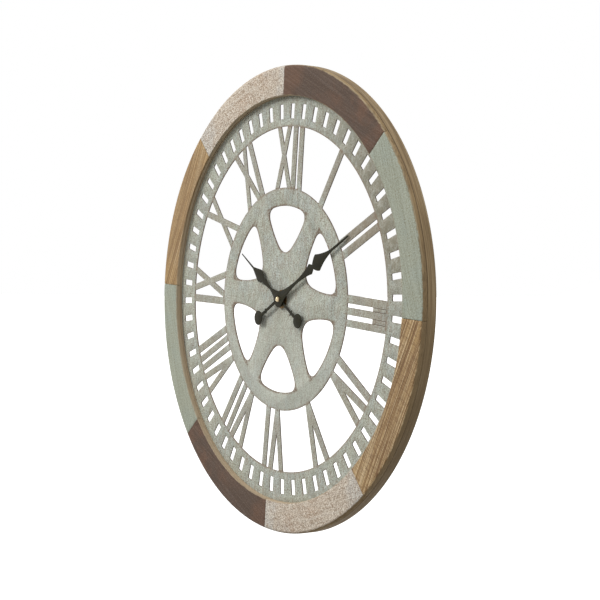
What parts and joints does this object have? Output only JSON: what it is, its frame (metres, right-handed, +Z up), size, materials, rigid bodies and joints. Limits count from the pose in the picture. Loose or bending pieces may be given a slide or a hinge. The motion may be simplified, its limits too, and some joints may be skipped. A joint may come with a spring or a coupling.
{
  "type": "gear wall clock",
  "caption": "Round open wall clock with a pierced metal dial of Roman numeral bars and minute slots round a gear ring, in a flat wooden plank rim.",
  "frame": {"origin": "where the hanging screw's axis meets the wall, with the screw at the top of the keyhole's neck", "axes": "+Z up, +Y from the clock into the wall, so the dial looks along -Y, and +X to the right of someone who reads the clock"},
  "size_m": [0.6, 0.0281, 0.6],
  "materials": {
    "dark_brown_wood": "dark brown stain, worn pale at the edges",
    "sage_wood": "sage green wash over open grain",
    "natural_wood": "bare rough-sawn wood with saw marks",
    "whitewashed_wood": "thin whitewash over rough-sawn wood",
    "base_wood": "bare wood",
    "dial_metal": "aged grey-green paint with brown wear, rusty cut edges",
    "hand_metal": "satin black paint",
    "brass": "polished brass",
    "steel": "zinc plated steel",
    "rubber": "matt black rubber",
    "case_plastic": "moulded black plastic",
    "gear_white": "natural white acetal",
    "gear_yellow": "yellow acetal",
    "magnet": "sintered ferrite, grey",
    "copper": "enamelled copper wire",
    "bobbin_plastic": "off-white plastic",
    "board": "green circuit board",
    "chip": "black chip package",
    "cell": "plain dark wrapped steel can"
  },
  "bodies": {
    "clock": {"rim_plank_1": "dark_brown_wood", "rim_plank_2": "sage_wood", "rim_plank_3": "natural_wood", "rim_plank_4": "whitewashed_wood", "rim_plank_5": "dark_brown_wood", "rim_plank_6": "sage_wood", "rim_plank_7": "natural_wood", "rim_plank_8": "whitewashed_wood", "rim_base": "base_wood", "dial": "dial_metal", "dial_screw_1": "steel", "dial_screw_2": "steel", "dial_screw_3": "steel", "dial_screw_4": "steel", "dial_screw_5": "steel", "dial_screw_6": "steel", "dial_screw_7": "steel", "dial_screw_8": "steel", "shaft_nut": "brass", "shaft_washer": "brass", "case_gasket": "rubber", "case_front": "case_plastic", "middle_plate": "gear_white", "stator": "steel", "coil_core": "steel", "coil_bobbin": "bobbin_plastic", "coil_winding": "copper", "circuit_board": "board", "clock_chip": "chip", "quartz_crystal": "steel", "contact_positive": "steel", "contact_negative": "steel", "back_cover": "case_plastic", "hanger_plate": "steel", "hanger_screw_1": "steel", "hanger_screw_2": "steel", "wall_pad_upper_right": "rubber", "wall_pad_upper_left": "rubber", "wall_pad_lower_left": "rubber", "wall_pad_lower_right": "rubber"},
    "minute": {"minute_hand": "hand_metal", "minute_cap_nut": "brass", "minute_arbor": "steel", "centre_wheel": "brass"},
    "hour": {"hour_hand": "hand_metal", "hour_wheel": "gear_white"},
    "setting": {"motion_wheel": "gear_white", "setting_knob": "gear_white"},
    "third": {"third_wheel": "gear_yellow"},
    "second": {"second_wheel": "gear_white"},
    "step": {"step_wheel": "gear_yellow"},
    "rotor": {"rotor_pinion": "gear_white", "rotor_magnet": "magnet"},
    "cell": {"battery": "cell"}
  },
  "joints": [
    {"name": "minute_hand_turn", "type": "hinge", "parent": "clock", "child": "minute", "pos_m": [0, -0.01, -0.286], "axis": [0, 1, 0], "continuous": true},
    {"name": "hour_hand_turn", "type": "hinge", "parent": "clock", "child": "hour", "pos_m": [0, -0.01, -0.286], "axis": [0, 1, 0], "continuous": true},
    {"name": "setting_turn", "type": "hinge", "parent": "clock", "child": "setting", "pos_m": [-0.012, -0.01, -0.286], "axis": [0, 1, 0], "continuous": true},
    {"name": "third_wheel_turn", "type": "hinge", "parent": "clock", "child": "third", "pos_m": [-0.00369, -0.01, -0.27585], "axis": [0, 1, 0], "continuous": true},
    {"name": "second_wheel_turn", "type": "hinge", "parent": "clock", "child": "second", "pos_m": [0, -0.01, -0.286], "axis": [0, 1, 0], "continuous": true},
    {"name": "step_wheel_turn", "type": "hinge", "parent": "clock", "child": "step", "pos_m": [0.01083, -0.01, -0.28791], "axis": [0, 1, 0], "continuous": true},
    {"name": "rotor_turn", "type": "hinge", "parent": "clock", "child": "rotor", "pos_m": [0.01083, -0.01, -0.28041], "axis": [0, 1, 0], "continuous": true},
    {"name": "battery_slide", "type": "slide", "parent": "clock", "child": "cell", "axis": [0, 1, 0], "range_m": [0, 0.02]}
  ],
  "couplings": [
    {"joint": "hour_hand_turn", "follows": "minute_hand_turn", "ratio": 0.083333},
    {"joint": "setting_turn", "follows": "minute_hand_turn", "ratio": -0.33333},
    {"joint": "third_wheel_turn", "follows": "minute_hand_turn", "ratio": -8},
    {"joint": "second_wheel_turn", "follows": "minute_hand_turn", "ratio": 60},
    {"joint": "step_wheel_turn", "follows": "minute_hand_turn", "ratio": -360},
    {"joint": "rotor_turn", "follows": "minute_hand_turn", "ratio": 1800}
  ]
}
